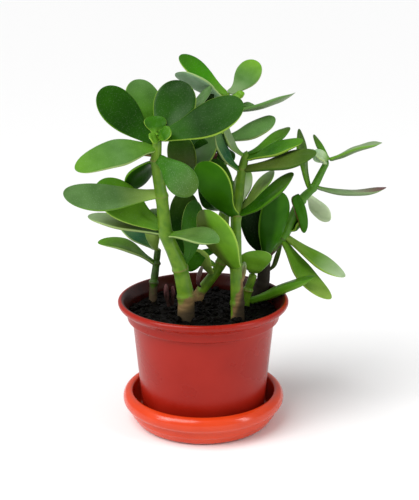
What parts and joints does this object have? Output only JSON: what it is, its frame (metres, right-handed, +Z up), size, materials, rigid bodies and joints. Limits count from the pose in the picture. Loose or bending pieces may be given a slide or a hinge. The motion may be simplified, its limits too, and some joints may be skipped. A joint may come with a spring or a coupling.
{
  "type": "potted succulent plant",
  "caption": "Jade plant with several fleshy stems and thick oval leaves, rooted in soil in a tapered plastic pot that stands in a round saucer.",
  "frame": {"origin": "centre of the saucer's flat underside, where the object rests", "axes": "+Z up along the pot's axis; -Y towards the plant's front; +X towards its right side"},
  "size_m": [0.2186, 0.12, 0.2567],
  "materials": {
    "pot_plastic": "satin terracotta-red plastic",
    "saucer_plastic": "glossy orange-red plastic",
    "potting_soil": "damp, crumbly, matt potting soil",
    "green_stem": "smooth fleshy green stem, brown and corky at its foot",
    "brown_stem": "dull brown woody stem, green above",
    "dark_leaf": "waxy, satin, dark green leaf with a thin light edge",
    "bright_leaf": "waxy, satin, bright green leaf with a thin light edge",
    "bloomed_leaf": "waxy leaf dulled by a grey-green bloom",
    "pale_leaf": "thin pale leaf with light coming through it"
  },
  "bodies": {
    "root": {"saucer": "saucer_plastic", "pot": "pot_plastic", "stem_left": "green_stem", "stem_rear_left": "green_stem", "stem_middle": "green_stem", "stem_tall": "green_stem", "stem_short": "green_stem", "stem_right": "brown_stem", "soil": "potting_soil", "leaf_left_young": "bright_leaf", "leaf_left_top_rear": "dark_leaf", "leaf_left_top_left": "dark_leaf", "leaf_left_top_far": "bright_leaf", "leaf_left_top_right": "dark_leaf", "leaf_left_top_front": "dark_leaf", "leaf_left_upper_front": "bloomed_leaf", "leaf_left_upper_rear": "dark_leaf", "leaf_left_upper_far": "bloomed_leaf", "leaf_left_long_left": "bloomed_leaf", "leaf_left_lower_left": "dark_leaf", "leaf_left_lower_far": "bloomed_leaf", "leaf_left_lower_right": "bloomed_leaf", "leaf_left_upright": "bright_leaf", "leaf_rear_left_side": "bright_leaf", "leaf_rear_left_front": "bright_leaf", "leaf_rear_left_back": "bloomed_leaf", "leaf_middle_low_front": "bright_leaf", "leaf_middle_inner_front": "bright_leaf", "leaf_middle_inner_back": "bright_leaf", "leaf_middle_right": "dark_leaf", "leaf_middle_rear_right": "dark_leaf", "leaf_middle_rear": "pale_leaf", "leaf_middle_blade_left": "bloomed_leaf", "leaf_middle_blade_top": "bright_leaf", "leaf_middle_long_right": "dark_leaf", "leaf_middle_top_right": "bright_leaf", "leaf_middle_top_back": "bright_leaf", "leaf_tall_crown_left": "bloomed_leaf", "leaf_tall_crown_top": "bright_leaf", "leaf_tall_crown_right": "dark_leaf", "leaf_tall_right": "dark_leaf", "leaf_tall_shoulder": "bloomed_leaf", "leaf_tall_front": "bright_leaf", "leaf_tall_left": "dark_leaf", "leaf_tall_low_front": "dark_leaf", "leaf_tall_hanging": "bright_leaf", "leaf_tall_low_left": "dark_leaf", "leaf_short_hood": "bright_leaf", "leaf_short_over_rim": "bright_leaf", "leaf_right_low_outer": "bright_leaf", "leaf_right_low_front": "dark_leaf", "leaf_right_tall_front": "dark_leaf", "leaf_right_inner": "bright_leaf", "leaf_right_hanging": "dark_leaf", "leaf_right_hanging_twin": "dark_leaf", "leaf_right_pale": "pale_leaf", "leaf_right_outer": "bloomed_leaf", "leaf_right_rear": "dark_leaf", "leaf_right_tip_right": "bloomed_leaf", "leaf_right_tip_left": "pale_leaf"}
  },
  "joints": []
}
